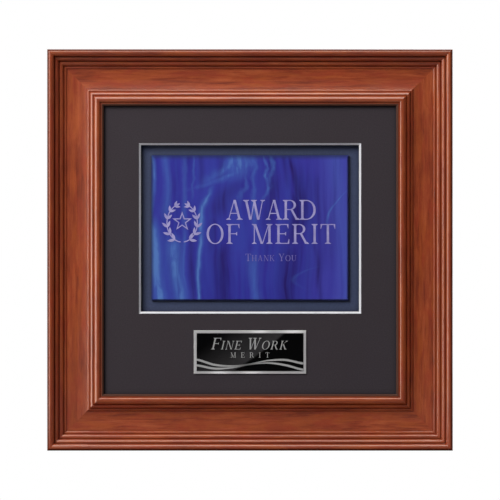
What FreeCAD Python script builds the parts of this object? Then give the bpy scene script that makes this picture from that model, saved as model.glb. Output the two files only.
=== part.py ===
import FreeCAD, Part
import math
import os

import Sketcher
from FreeCAD import Placement, Rotation, Vector

# A wall plaque: a reeded hardwood frame around a bevelled window mat, with a panel of art glass standing on a
# mount board behind the window and a nameplate on the mat below it.
#
# Millimetres. +X is to the viewer's right, +Z is up and the plaque faces -Y. The origin is the middle of the
# frame's lower edge, on the plane of the frame's back.

DIMENSIONS = {
    # frame
    "frame_width": 366.0,
    "frame_height": 362.2,
    "rabbet_wide": 6.35,
    "rabbet_deep": 20.0,
    # boards in the rabbet, from the back to the front
    "board_gap": 1.0,
    "backing_thick": 3.0,
    "mount_thick": 1.5,
    "riser_thick": 4.5,
    "core_thick": 1.8,
    "paper_thick": 0.2,
    "riser_wide": 30.0,
    "riser_foot": 68.0,
    # window in the mat, measured where the bevel ends at the back of the core
    "window_width": 197.3,
    "window_height": 150.6,
    "window_rise": 19.6,
    "bevel_angle": 45.0,
    # art glass and its pads
    "glass_width": 178.4,
    "glass_height": 131.3,
    "glass_thick": 3.0,
    "glass_arris": 1.0,
    "glass_rise": 20.1,
    "pad_side": 22.0,
    "pad_thick": 0.6,
    "pad_inset": 12.0,
    # nameplate
    "plate_width": 101.6,
    "plate_height": 39.3,
    "plate_border": 2.55,
    "plate_drop": 92.3,
    "tape_thick": 0.3,
    "tape_inset": 4.0,
    "back_plate_thick": 0.8,
    "face_plate_thick": 0.5,
    "plate_arris": 0.25,
    # V-nails across the mitres
    "nail_leg": 6.0,
    "nail_sheet": 0.5,
    "nail_long": 10.0,
    "outer_nail": 11.0,
    "inner_nail": 32.0,
    # pan-head screws and their pilot holes
    "shank_radius": 1.5,
    "shank_long": 14.0,
    "tip_long": 4.0,
    "head_radius": 3.5,
    "head_side": 0.9,
    "head_rise": 2.2,
    "recess_arm": 1.9,
    "recess_half": 0.45,
    "recess_deep": 1.3,
    "pilot_play": 0.02,
    "pilot_deep": 13.5,
    # turn buttons
    "button_reach": 24.0,
    "button_heel": 6.0,
    "button_toe": 4.0,
    "button_thick": 1.2,
    "button_gap": 0.1,
    "button_play": 0.08,
    "button_inset": 35.5,
    "button_spread": 110.0,
    "rib_start": 8.5,
    "rib_long": 11.0,
    "rib_half": 1.5,
    "rib_rise": 0.5,
    # strap hangers and their D-rings
    "hanger_height": 306.0,
    "hanger_inset": 22.2,
    "strap_wide": 14.0,
    "strap_long": 40.0,
    "strap_thick": 1.6,
    "strap_round": 5.0,
    "loop_wall": 0.8,
    "wire_radius": 1.25,
    "wire_play": 0.1,
    "upper_screw": 20.0,
    "lower_screw": 32.0,
    "ring_half": 9.5,
    "ring_leg": 6.0,
    "ring_bend": 2.4,
    # wall bumpers
    "bumper_radius": 6.0,
    "bumper_thick": 4.0,
    "bumper_round": 1.2,
    "bumper_side": 26.0,
    "bumper_height": 12.0,
}

# The moulding's section, from the outer corner of the back, up the side, over the face and down into the
# rabbet: name, distance in from the outer edge, height off the back plane, and the bow of the curve that
# leads to the point, where a bead or a crest swells and the cove dips.
MOULDING = (
    ("side", 0.0, 27.0, 0.0),
    ("crest", 3.0, 30.0, 0.9),
    ("crest_toe", 6.2, 26.4, 0.7),
    ("reed_heel", 6.6, 25.2, 0.0),
    ("reed_toe", 10.1, 22.1, 0.8),
    ("bead_heel", 10.6, 20.9, 0.0),
    ("bead_toe", 14.4, 18.3, 1.0),
    ("pearl_heel", 14.9, 17.4, 0.0),
    ("pearl_toe", 17.0, 16.7, 0.5),
    ("flat_heel", 17.4, 16.3, 0.0),
    ("flat_toe", 27.0, 16.2, 0.0),
    ("cove_toe", 35.4, 17.9, -0.3),
    ("step_toe", 37.4, 19.5, 0.5),
    ("rise_heel", 37.8, 19.3, 0.0),
    ("rise_toe", 40.7, 22.6, 0.8),
    ("brow_heel", 41.4, 21.9, 0.0),
    ("brow", 44.4, 25.8, 0.8),
    ("brow_toe", 47.8, 24.2, 0.7),
    ("lip_heel", 48.1, 23.6, 0.0),
    ("lip", 50.8, 22.6, 0.55),
)


class Size:
    """A length with the spreadsheet formula that gives it, so that arithmetic keeps the two together."""

    def __init__(self, number, formula):
        self.number = number
        self.formula = formula

    def __add__(self, other):
        return Size(self.number + other.number, f"({self.formula} + {other.formula})")

    def __sub__(self, other):
        return Size(self.number - other.number, f"({self.formula} - {other.formula})")

    def __mul__(self, times):
        if isinstance(times, Size):
            return Size(self.number * times.number, f"({self.formula} * {times.formula})")
        return Size(self.number * times, f"({self.formula} * {times})")

    def __truediv__(self, share):
        if isinstance(share, Size):
            return Size(self.number / share.number, f"({self.formula} / {share.formula})")
        return Size(self.number / share, f"({self.formula} / {share})")

    def __neg__(self):
        return Size(-self.number, f"(-{self.formula})")

    def root(self):
        return Size(math.sqrt(self.number), f"sqrt({self.formula})")


ZERO = Size(0.0, "0")
SAME = 1e-4


# ---- sheet and features ----


def sheet_of_sizes(doc):
    """Writes every driving dimension to the sheet and returns them as Sizes, by name."""
    sheet = doc.addObject("Spreadsheet::Sheet", "Dims")
    cells = dict(DIMENSIONS)
    for name, inward, height, bow in MOULDING:
        cells[f"{name}_in"] = inward
        cells[f"{name}_up"] = height
        if bow:
            cells[f"{name}_bow"] = abs(bow)
    for row, (name, value) in enumerate(cells.items(), 1):
        sheet.set(f"A{row}", name)
        sheet.set(f"B{row}", str(value))
        sheet.setAlias(f"B{row}", name)
    doc.recompute()
    return {name: Size(value, f"Dims.{name}") for name, value in cells.items()}


def bind(thing, prop, size):
    thing.setExpression(prop, size.formula)


def place(thing, x, y, z, turn=0.0):
    """Puts a sub-part at x, y, z, turned about the Y axis by so many degrees."""
    thing.Placement = Placement(Vector(x.number, y.number, z.number), Rotation(Vector(0, 1, 0), turn))
    for axis, size in zip("xyz", (x, y, z)):
        bind(thing, f"Placement.Base.{axis}", size)


def new_body(doc, label):
    body = doc.addObject("PartDesign::Body", label)
    body.Label = label
    return body


def new_sketch(body, role, name):
    """A sketch on one of the body's own origin planes."""
    sketch = body.newObject("Sketcher::SketchObject", name)
    planes = body.Origin.OriginFeatures
    sketch.AttachmentSupport = [(next(p for p in planes if p.Role == role), "")]
    sketch.MapMode = "FlatFace"
    return sketch


def extrude(body, kind, sketch, length=None, symmetric=False, reverse=False):
    """A Pad or a Pocket of the sketch. A Pocket with no length goes right through."""
    feature = body.newObject(f"PartDesign::{kind}", f"{sketch.Name}_{kind}")
    feature.Profile = sketch
    feature.Reversed = reverse
    if length is None:
        feature.Type = "ThroughAll"
    else:
        bind(feature, "Length", length)
    if symmetric:
        feature.SideType = "Symmetric"
    body.Document.recompute()
    return feature


def removed(feature):
    """The volume that a cut took away, which is none for a cut that points the wrong way."""
    return feature.BaseFeature.Shape.Volume - feature.Shape.Volume


def cut(body, sketch, length=None, symmetric=False, reverse=False):
    pocket = extrude(body, "Pocket", sketch, length, symmetric, reverse)
    if removed(pocket) < 1e-3:
        raise RuntimeError(f"{pocket.Name} cuts nothing")
    return pocket


def edges_where(shape, test):
    """Names of the edges whose bounding box passes the test."""
    return [f"Edge{i}" for i, edge in enumerate(shape.Edges, 1) if test(edge.BoundBox)]


def flat_at(level):
    """A test for edges that lie in the plane where Y is level."""
    return lambda box: abs(box.YMin - level) < SAME and abs(box.YMax - level) < SAME


def dress(body, kind, prop, size, test):
    """A Chamfer or a Fillet on the edges of the body's tip that pass the test."""
    tip = body.Tip
    feature = body.newObject(f"PartDesign::{kind}", f"{body.Name}_{kind}")
    feature.Base = (tip, edges_where(tip.Shape, test))
    bind(feature, prop, size)
    body.Document.recompute()
    return feature


# ---- sketch outlines ----


def pin_point(sketch, geometry, end, x, y):
    """Fixes a point of the sketch at x, y from its origin."""
    for kind, size, axis in (("DistanceX", x, -2), ("DistanceY", y, -1)):
        if size.number == 0:
            sketch.addConstraint(Sketcher.Constraint("PointOnObject", geometry, end, axis))
            continue
        ends = (-1, 1, geometry, end) if size.number > 0 else (geometry, end, -1, 1)
        far = size if size.number > 0 else -size
        constraint = sketch.addConstraint(Sketcher.Constraint(kind, *ends, far.number))
        bind(sketch, f"Constraints[{constraint}]", far)


def arc_through(start, end, bow):
    """The arc from start to end that swells by bow to the left of the way, or to the right if bow is negative."""
    chord = end - start
    radius = chord.Length**2 / 8 / abs(bow) + abs(bow) / 2
    left = Vector(-chord.y, chord.x, 0).normalize()
    centre = (start + end) / 2 + left * (bow - math.copysign(radius, bow))
    first, last = (end, start) if bow > 0 else (start, end)
    angles = [math.atan2(p.y - centre.y, p.x - centre.x) for p in (first, last)]
    return Part.ArcOfCircle(Part.Circle(centre, Vector(0, 0, 1), radius), *angles)


def quarter_bow(radius):
    """The bow of a quarter circle, on the right of the way."""
    return radius * (math.sqrt(0.5) - 1)


def add_side(sketch, start, end):
    """A line to the end corner, or an arc where the corner has a bow: its number, and its ends' numbers."""
    a, b = (Vector(p[0].number, p[1].number, 0) for p in (start, end))
    if len(end) == 2:
        return sketch.addGeometry(Part.LineSegment(a, b)), 1, 2
    bow = end[2]
    number = sketch.addGeometry(arc_through(a, b, bow.number))
    return (number, 2, 1) if bow.number > 0 else (number, 1, 2)


def outline(sketch, corners):
    """A closed loop through the corners. A corner is x, y and, where an arc leads to it, the arc's bow."""
    sides = [add_side(sketch, corners[i - 1], corner) for i, corner in enumerate(corners)]
    for i, (number, _, end) in enumerate(sides):
        follower, start, _ = sides[(i + 1) % len(sides)]
        sketch.addConstraint(Sketcher.Constraint("Coincident", number, end, follower, start))
    for i, (number, _, end) in enumerate(sides):
        x, y = corners[i][:2]
        pin_point(sketch, number, end, x, y)
        if len(corners[i]) == 3:
            across, up = x - corners[i - 1][0], y - corners[i - 1][1]
            bow = corners[i][2] if corners[i][2].number > 0 else -corners[i][2]
            radius = (across * across + up * up) / (bow * 8) + bow / 2
            constraint = sketch.addConstraint(Sketcher.Constraint("Radius", number, radius.number))
            bind(sketch, f"Constraints[{constraint}]", radius)


def rectangle(sketch, width, height, x=ZERO, y=ZERO):
    """A rectangle centred on x, y."""
    left, right, low, high = x - width / 2, x + width / 2, y - height / 2, y + height / 2
    outline(sketch, [(left, low), (right, low), (right, high), (left, high)])


def circle(sketch, radius, x=ZERO, y=ZERO):
    number = sketch.addGeometry(Part.Circle(Vector(x.number, y.number, 0), Vector(0, 0, 1), radius.number))
    pin_point(sketch, number, 3, x, y)
    constraint = sketch.addConstraint(Sketcher.Constraint("Radius", number, radius.number))
    bind(sketch, f"Constraints[{constraint}]", radius)


# ---- frame ----


def moulding_corners(size):
    """The section's corners in the YZ plane, where the back plane is Y = 0 and the face looks along -Y."""
    corners = [(ZERO, ZERO)]
    for name, _, _, bow in MOULDING:
        height, inward = -size[f"{name}_up"], size[f"{name}_in"]
        inward = inward if inward.number else ZERO
        if bow:
            swell = size[f"{name}_bow"]
            corners.append((height, inward, swell if bow > 0 else -swell))
        else:
            corners.append((height, inward))
    sight, wall = size["lip_in"], size["lip_in"] - size["rabbet_wide"]
    return corners + [(-size["rabbet_deep"], sight), (-size["rabbet_deep"], wall), (ZERO, wall)]


def rail(doc, size, label, run, screws):
    """A mitred rail along X, its outer edge at Z = 0. screws are the pilot holes: along X, in from the edge."""
    body = new_body(doc, label)
    section = new_sketch(body, "YZ_Plane", f"{label}_section")
    outline(section, moulding_corners(size))
    extrude(body, "Pad", section, run, symmetric=True)

    mitres = new_sketch(body, "XZ_Plane", f"{label}_mitres")
    slots = new_sketch(body, "XZ_Plane", f"{label}_nail_slots")
    for side in (1, -1):
        tip, shoulder = run / 2 * side, (run / 2 - size["lip_in"]) * side
        outline(mitres, [(tip, ZERO), (tip, size["lip_in"]), (shoulder, size["lip_in"])])
        for inset in (size["outer_nail"], size["inner_nail"]):
            apex, toe = (run / 2 - inset) * side, (run / 2 - inset - size["nail_leg"]) * side
            high = inset + size["nail_sheet"]
            outline(slots, [(toe, inset), (apex, inset), (apex, high), (toe, high)])
    cut(body, mitres, symmetric=True)
    cut(body, slots, size["nail_long"], reverse=True)

    pilots = new_sketch(body, "XZ_Plane", f"{label}_pilots")
    for along, inset in screws:
        circle(pilots, size["shank_radius"] + size["pilot_play"], along, inset)
    cut(body, pilots, size["pilot_deep"], reverse=True)
    return body


def frame_rails(doc, size):
    """The four rails. Each carries two turn buttons, and the side rails a strap hanger as well."""
    half_width, half_height = size["frame_width"] / 2, size["frame_height"] / 2
    spread = size["button_spread"] / 2
    buttons = [(spread, size["button_inset"]), (-spread, size["button_inset"])]
    straps = [size["hanger_height"] - half_height - size[name] for name in ("upper_screw", "lower_screw")]
    right = buttons + [(along, size["hanger_inset"]) for along in straps]
    left = buttons + [(-along, size["hanger_inset"]) for along in straps]
    width, height = size["frame_width"], size["frame_height"]

    bottom_rail = rail(doc, size, "frame_rail_bottom", width, buttons)
    right_rail = rail(doc, size, "frame_rail_right", height, right)
    top_rail = rail(doc, size, "frame_rail_top", width, buttons)
    left_rail = rail(doc, size, "frame_rail_left", height, left)
    place(bottom_rail, ZERO, ZERO, ZERO)
    place(right_rail, half_width, ZERO, half_height, -90)
    place(top_rail, ZERO, ZERO, height, 180)
    place(left_rail, -half_width, ZERO, half_height, 90)
    return [bottom_rail, right_rail, top_rail, left_rail]


def corner_v_nails(doc, size):
    """Two bent steel nails across each mitre. A nail's legs run along the two rails that it joins."""
    body = new_body(doc, "corner_v_nails")
    nails = new_sketch(body, "XZ_Plane", "v_nails")
    leg, sheet = size["nail_leg"], size["nail_sheet"]
    for inset in (size["outer_nail"], size["inner_nail"]):
        across, up = size["frame_width"] / 2 - inset, size["frame_height"] / 2 - inset
        for right in (1, -1):
            for top in (1, -1):
                steps = [
                    (ZERO, ZERO),
                    (leg, ZERO),
                    (leg, sheet),
                    (sheet, sheet),
                    (sheet, leg),
                    (ZERO, leg),
                ]
                outline(nails, [((across - x) * right, (up - z) * top) for x, z in steps])
    extrude(body, "Pad", nails, size["nail_long"])
    place(body, ZERO, ZERO, size["frame_height"] / 2)
    return body


# ---- boards in the rabbet ----


def board_size(size):
    """Width and height of the boards, which have a little play in the rabbet."""
    play = (size["lip_in"] - size["rabbet_wide"] + size["board_gap"]) * 2
    return size["frame_width"] - play, size["frame_height"] - play


def mat_back(size):
    """Where the mat's core starts: the mat's face lies against the rabbet."""
    return size["rabbet_deep"] - size["paper_thick"] - size["core_thick"]


def mount_front(size):
    return mat_back(size) - size["riser_thick"]


def slab(doc, size, label, width, height, thick, back, x=ZERO, z=None):
    """A plain board, its back at this distance in front of the back plane. z is up from the frame's centre."""
    body = new_body(doc, label)
    face = new_sketch(body, "XZ_Plane", f"{label}_face")
    rectangle(face, width, height)
    extrude(body, "Pad", face, thick)
    middle = size["frame_height"] / 2
    place(body, x, -back, middle if z is None else middle + z)
    return body


def boards(doc, size):
    """The backing board, the filler that takes up the rest of the rabbet's depth, and the mount board."""
    width, height = board_size(size)
    mount_back = mount_front(size) - size["mount_thick"]
    filler_thick = mount_back - size["backing_thick"]
    return [
        slab(doc, size, "backing_board", width, height, size["backing_thick"], ZERO),
        slab(doc, size, "filler_board", width, height, filler_thick, size["backing_thick"]),
        slab(doc, size, "mount_board", width, height, size["mount_thick"], mount_back),
    ]


def risers(doc, size):
    """Four strips that hold the mat off the mount board. The lower one is wide, to carry the nameplate."""
    width, height = board_size(size)
    wide, foot, thick, back = size["riser_wide"], size["riser_foot"], size["riser_thick"], mount_front(size)
    side_height = height - wide - foot
    side_x, side_z = (width - wide) / 2, (foot - wide) / 2
    return [
        slab(doc, size, "riser_top", width, wide, thick, back, z=(height - wide) / 2),
        slab(doc, size, "riser_bottom", width, foot, thick, back, z=(foot - height) / 2),
        slab(doc, size, "riser_left", wide, side_height, thick, back, -side_x, side_z),
        slab(doc, size, "riser_right", wide, side_height, thick, back, side_x, side_z),
    ]


def mat_layer(doc, size, label, thick, back, front_opening):
    """A layer of the mat with a bevelled window. front_opening is how much wider the window is at its face."""
    width, height = board_size(size)
    body = new_body(doc, label)
    face = new_sketch(body, "XZ_Plane", f"{label}_face")
    rectangle(face, width, height)
    extrude(body, "Pad", face, thick)

    window = new_sketch(body, "XZ_Plane", f"{label}_window")
    bind(window, "AttachmentOffset.Base.z", thick)
    opening_width = size["window_width"] + front_opening
    opening_height = size["window_height"] + front_opening
    rectangle(window, opening_width, opening_height, ZERO, size["window_rise"])
    pocket = cut(body, window, thick)
    pocket.setExpression("TaperAngle", f"-{size['bevel_angle'].formula}")
    place(body, ZERO, -back, size["frame_height"] / 2)
    return body


def window_mat(doc, size):
    """The mat: a white core faced with dark paper, both cut by the same bevel."""
    core, paper = size["core_thick"], size["paper_thick"]
    back = mat_back(size)
    return [
        mat_layer(doc, size, "mat_core", core, back, core * 2),
        mat_layer(doc, size, "mat_face_paper", paper, back + core, (core + paper) * 2),
    ]


# ---- glass and nameplate ----


def art_glass(doc, size):
    """The glass panel, with a ground arris round its front and back."""
    back = mount_front(size) + size["pad_thick"]
    glass = slab(
        doc, size, "art_glass", size["glass_width"], size["glass_height"], size["glass_thick"], back,
        z=size["glass_rise"],
    )
    dress(glass, "Chamfer", "Size", size["glass_arris"], flat_at(-size["glass_thick"].number))
    return glass


def glass_pads(doc, size):
    """Four foam tape pads near the corners of the glass."""
    body = new_body(doc, "glass_pads")
    face = new_sketch(body, "XZ_Plane", "glass_pad_faces")
    side = size["pad_side"]
    across = size["glass_width"] / 2 - size["pad_inset"] - side / 2
    up = size["glass_height"] / 2 - size["pad_inset"] - side / 2
    for right in (1, -1):
        for top in (1, -1):
            rectangle(face, side, side, across * right, up * top)
    extrude(body, "Pad", face, size["pad_thick"])
    place(body, ZERO, -mount_front(size), size["frame_height"] / 2 + size["glass_rise"])
    return body


def nameplate(doc, size):
    """The tape, the silver backing plate and the smaller black plate on it."""
    width, height, drop = size["plate_width"], size["plate_height"], -size["plate_drop"]
    tape, back_plate = size["tape_thick"], size["back_plate_thick"]
    mat_front, inset, border = size["rabbet_deep"], size["tape_inset"] * 2, size["plate_border"] * 2
    pieces = [
        slab(doc, size, "nameplate_tape", width - inset, height - inset, tape, mat_front, z=drop),
        slab(doc, size, "nameplate_backplate", width, height, back_plate, mat_front + tape, z=drop),
        slab(
            doc, size, "nameplate_face", width - border, height - border, size["face_plate_thick"],
            mat_front + tape + back_plate, z=drop,
        ),
    ]
    dress(pieces[1], "Chamfer", "Size", size["plate_arris"], flat_at(-back_plate.number))
    dress(pieces[2], "Chamfer", "Size", size["plate_arris"] / 2, flat_at(-size["face_plate_thick"].number))
    return pieces


# ---- hardware on the back ----


def screw_pattern(doc, size):
    """The pan-head screw that every group of screws repeats. Its head sits on Y = 0 and its shank runs to -Y."""
    body = new_body(doc, "screw_pattern")
    half = new_sketch(body, "XY_Plane", "screw_half")
    shank, head = size["shank_radius"], size["head_radius"]
    dome = size["head_rise"] - size["head_side"]
    outline(
        half,
        [
            (ZERO, -size["shank_long"]),
            (shank, size["tip_long"] - size["shank_long"]),
            (shank, ZERO),
            (head, ZERO),
            (head, size["head_side"]),
            (ZERO, size["head_rise"], -dome / 4),
        ],
    )
    turned = body.newObject("PartDesign::Revolution", "screw_turned")
    turned.Profile = half
    turned.ReferenceAxis = (half, ["V_Axis"])
    turned.Angle = 360
    doc.recompute()

    recess = new_sketch(body, "XZ_Plane", "screw_recess")
    bind(recess, "AttachmentOffset.Base.z", -size["head_rise"])
    arm, side = size["recess_arm"], size["recess_half"]
    quarter = [(arm, side), (side, side), (side, arm)]
    corners = []
    for _ in range(4):
        corners += quarter
        quarter = [(-y, x) for x, y in quarter]
    outline(recess, corners)
    cut(body, recess, size["recess_deep"], reverse=True)
    return body


def screw_group(doc, label, pattern, places):
    """One node of separate screws, a link to the pattern at each place."""
    links = []
    for number, (x, y, z) in enumerate(places, 1):
        link = doc.addObject("App::Link", f"{label}_{number}")
        link.LinkedObject = pattern
        place(link, x, y, z)
        links.append(link)
    group = doc.addObject("Part::Compound", label)
    group.Label = label
    group.Links = links
    return group


def button_places(size):
    """Label, x, z and turn of each turn button. At rest a button points in, over the backing board."""
    half_width, height = size["frame_width"] / 2, size["frame_height"]
    spread, inset = size["button_spread"] / 2, size["button_inset"]
    low, high = height / 2 - spread, height / 2 + spread
    side, top = half_width - inset, height - inset
    return [
        ("turn_button_bottom_left", -spread, inset, 0),
        ("turn_button_bottom_right", spread, inset, 0),
        ("turn_button_right_lower", side, low, -90),
        ("turn_button_right_upper", side, high, -90),
        ("turn_button_top_right", spread, top, 180),
        ("turn_button_top_left", -spread, top, 180),
        ("turn_button_left_upper", -side, high, 90),
        ("turn_button_left_lower", -side, low, 90),
    ]


def tapered_plate(sketch, size):
    """The button's outline: a wide heel round the screw and a narrower toe, joined by tangents."""
    heel, toe, reach = size["button_heel"], size["button_toe"], size["button_reach"]
    lean = math.asin((heel.number - toe.number) / reach.number)
    up, centre = Vector(0, 0, 1), Vector(0, reach.number, 0)
    heel_arc = Part.ArcOfCircle(Part.Circle(Vector(), up, heel.number), math.pi - lean, 2 * math.pi + lean)
    toe_arc = Part.ArcOfCircle(Part.Circle(centre, up, toe.number), lean, math.pi - lean)
    right = Part.LineSegment(heel_arc.EndPoint, toe_arc.StartPoint)
    left = Part.LineSegment(toe_arc.EndPoint, heel_arc.StartPoint)
    ring = [sketch.addGeometry(side) for side in (heel_arc, right, toe_arc, left)]
    for number, follower in zip(ring, ring[1:] + ring[:1]):
        sketch.addConstraint(Sketcher.Constraint("Tangent", number, 2, follower, 1))
    pin_point(sketch, ring[0], 3, ZERO, ZERO)
    pin_point(sketch, ring[2], 3, ZERO, reach)
    for number, radius in ((ring[0], heel), (ring[2], toe)):
        constraint = sketch.addConstraint(Sketcher.Constraint("Radius", number, radius.number))
        bind(sketch, f"Constraints[{constraint}]", radius)


def turn_button(doc, size, label, x, z, turn):
    """A stamped steel button that turns on its screw, with a pressed rib."""
    body = new_body(doc, label)
    plate = new_sketch(body, "XZ_Plane", f"{label}_plate")
    tapered_plate(plate, size)
    circle(plate, size["shank_radius"] + size["button_play"])
    extrude(body, "Pad", plate, size["button_thick"], reverse=True)

    rib = new_sketch(body, "XZ_Plane", f"{label}_rib")
    half, start, end = size["rib_half"], size["rib_start"], size["rib_start"] + size["rib_long"]
    turn_in = quarter_bow(half)
    outline(
        rib,
        [
            (half, start, turn_in),
            (half, end),
            (ZERO, end + half, turn_in),
            (-half, end, turn_in),
            (-half, start),
            (ZERO, start - half, turn_in),
        ],
    )
    extrude(body, "Pad", rib, size["button_thick"] + size["rib_rise"], reverse=True)
    top = size["button_thick"] + size["rib_rise"]
    dress(body, "Fillet", "Radius", size["rib_rise"] / 2, flat_at(top.number))
    place(body, x, size["button_gap"], z, turn)
    return body


def turn_buttons(doc, size, pattern):
    """The eight buttons and their screws, whose heads stand just clear of them."""
    places = button_places(size)
    head_seat = size["button_thick"] + size["button_gap"] * 2
    screws = screw_group(doc, "turn_button_screws", pattern, [(x, head_seat, z) for _, x, z, _ in places])
    return [turn_button(doc, size, *where) for where in places] + [screws]


def loop_radius(size):
    return size["wire_radius"] + size["wire_play"] + size["loop_wall"]


def hanger_strap(doc, size, label, x):
    """A folded steel strap: a tongue with two screw holes and, at its head, the loop that holds the ring."""
    body = new_body(doc, label)
    radius, thick, foot = loop_radius(size), size["strap_thick"], -size["strap_long"]
    neck = (radius * thick * 2 - thick * thick).root()
    swell = radius + (radius * radius - radius * thick / 2).root()
    section = new_sketch(body, "YZ_Plane", f"{label}_section")
    outline(section, [(ZERO, ZERO, -swell), (ZERO, foot), (thick, foot), (thick, -neck)])
    circle(section, size["wire_radius"] + size["wire_play"], radius, ZERO)
    extrude(body, "Pad", section, size["strap_wide"], symmetric=True)

    def end_corner(box):
        return box.ZMax < foot.number + SAME and box.YLength > thick.number / 2

    dress(body, "Fillet", "Radius", size["strap_round"], end_corner)
    holes = new_sketch(body, "XZ_Plane", f"{label}_holes")
    for drop in (size["upper_screw"], size["lower_screw"]):
        circle(holes, size["shank_radius"] + size["button_play"], ZERO, -drop)
    cut(body, holes, symmetric=True)
    place(body, x, ZERO, size["hanger_height"])
    return body


def d_ring(doc, size, label, x):
    """A bent wire ring. Its straight bar turns in the strap's loop, and at rest its bow points up."""
    body = new_body(doc, label)
    half, leg, bend = size["ring_half"], size["ring_leg"], size["ring_bend"]
    bar, corner, bow = half - bend, quarter_bow(bend), quarter_bow(half)
    path = new_sketch(body, "XZ_Plane", f"{label}_path")
    outline(
        path,
        [
            (ZERO, ZERO),
            (bar, ZERO),
            (half, bend, corner),
            (half, leg),
            (ZERO, leg + half, bow),
            (-half, leg, bow),
            (-half, bend),
            (-bar, ZERO, corner),
        ],
    )
    wire = new_sketch(body, "YZ_Plane", f"{label}_wire")
    circle(wire, size["wire_radius"])
    ring = body.newObject("PartDesign::AdditivePipe", f"{label}_pipe")
    ring.Profile = wire
    ring.Spine = path
    doc.recompute()
    place(body, x, loop_radius(size), size["hanger_height"])
    return body


def hangers(doc, size, pattern):
    """A strap and a D-ring on each side rail, and the straps' screws."""
    across = size["frame_width"] / 2 - size["hanger_inset"]
    pieces, places = [], []
    for side, x in (("left", -across), ("right", across)):
        pieces.append(hanger_strap(doc, size, f"hanger_strap_{side}", x))
        pieces.append(d_ring(doc, size, f"d_ring_{side}", x))
        for drop in (size["upper_screw"], size["lower_screw"]):
            places.append((x, size["strap_thick"], size["hanger_height"] - drop))
    return pieces + [screw_group(doc, "hanger_screws", pattern, places)]


def wall_bumper(doc, size, side, across):
    """A rubber disc that keeps a lower corner off the wall."""
    label = f"wall_bumper_{side}"
    body = new_body(doc, label)
    disc = new_sketch(body, "XZ_Plane", f"{label}_disc")
    circle(disc, size["bumper_radius"])
    extrude(body, "Pad", disc, size["bumper_thick"], reverse=True)
    dress(body, "Fillet", "Radius", size["bumper_round"], flat_at(size["bumper_thick"].number))
    place(body, across, ZERO, size["bumper_height"])
    return body


# ---- build ----


def check(doc, pieces):
    """Stops if any object failed to build, or if a sub-part is empty, broken or missing a solid."""
    failed = [o.Name for o in doc.Objects if {"Invalid", "Error"} & set(o.State)]
    if failed:
        raise RuntimeError(f"these objects failed to build: {failed}")
    for piece in pieces:
        shape = piece.Shape
        if shape.isNull() or not shape.isValid() or not shape.Solids:
            raise RuntimeError(f"{piece.Label} is not a valid solid")


def main():
    doc = FreeCAD.newDocument("plaque")
    size = sheet_of_sizes(doc)
    pattern = screw_pattern(doc, size)
    bumper_across = size["frame_width"] / 2 - size["bumper_side"]
    pieces = [
        *frame_rails(doc, size),
        corner_v_nails(doc, size),
        *boards(doc, size),
        *risers(doc, size),
        *window_mat(doc, size),
        art_glass(doc, size),
        glass_pads(doc, size),
        *nameplate(doc, size),
        *turn_buttons(doc, size, pattern),
        *hangers(doc, size, pattern),
        wall_bumper(doc, size, "left", -bumper_across),
        wall_bumper(doc, size, "right", bumper_across),
    ]
    doc.recompute()
    check(doc, pieces)
    os.makedirs("parts", exist_ok=True)
    for piece in pieces:
        piece.Shape.exportStep(f"parts/{piece.Label}.step")


main()
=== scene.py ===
import math

import bmesh
import bpy
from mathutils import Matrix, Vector
from mathutils.geometry import delaunay_2d_cdt

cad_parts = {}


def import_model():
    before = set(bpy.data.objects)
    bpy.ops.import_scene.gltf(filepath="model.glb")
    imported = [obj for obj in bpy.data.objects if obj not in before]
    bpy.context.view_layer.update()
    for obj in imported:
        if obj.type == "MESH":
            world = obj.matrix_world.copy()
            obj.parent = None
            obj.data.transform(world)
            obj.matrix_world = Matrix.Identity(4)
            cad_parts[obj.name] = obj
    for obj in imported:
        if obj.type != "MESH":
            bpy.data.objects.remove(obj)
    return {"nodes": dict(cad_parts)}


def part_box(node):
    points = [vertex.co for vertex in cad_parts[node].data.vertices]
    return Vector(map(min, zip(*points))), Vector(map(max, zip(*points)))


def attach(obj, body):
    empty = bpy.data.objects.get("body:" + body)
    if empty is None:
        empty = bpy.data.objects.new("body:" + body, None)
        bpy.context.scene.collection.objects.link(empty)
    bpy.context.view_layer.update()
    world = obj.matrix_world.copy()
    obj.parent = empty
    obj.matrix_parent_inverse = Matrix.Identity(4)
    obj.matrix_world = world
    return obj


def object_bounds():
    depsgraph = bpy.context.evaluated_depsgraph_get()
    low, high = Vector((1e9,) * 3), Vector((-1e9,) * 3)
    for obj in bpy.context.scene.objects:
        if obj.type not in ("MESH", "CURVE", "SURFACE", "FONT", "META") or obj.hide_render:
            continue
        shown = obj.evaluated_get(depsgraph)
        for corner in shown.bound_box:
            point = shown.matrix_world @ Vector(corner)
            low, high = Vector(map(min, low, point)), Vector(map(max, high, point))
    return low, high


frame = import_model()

# A framed art-glass award. Metres. +X is to the viewer's right, +Z is up and the plaque faces -Y, with the
# back of its moulding on the plane y = 0. The frame gives every CAD piece. This script gives each its look,
# adds the emblem, the lettering and the nameplate's lines as thin raised pieces, and sets the studio.

MM = 0.001
CAD_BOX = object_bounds()
MIDDLE = (CAD_BOX[0] + CAD_BOX[1]) / 2
WIDTH = CAD_BOX[1].x - CAD_BOX[0].x
NODES = frame["nodes"]
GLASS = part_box("art_glass")
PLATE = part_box("nameplate_face")
PLATE_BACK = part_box("nameplate_backplate")


# -------- materials: the node kit


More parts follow.
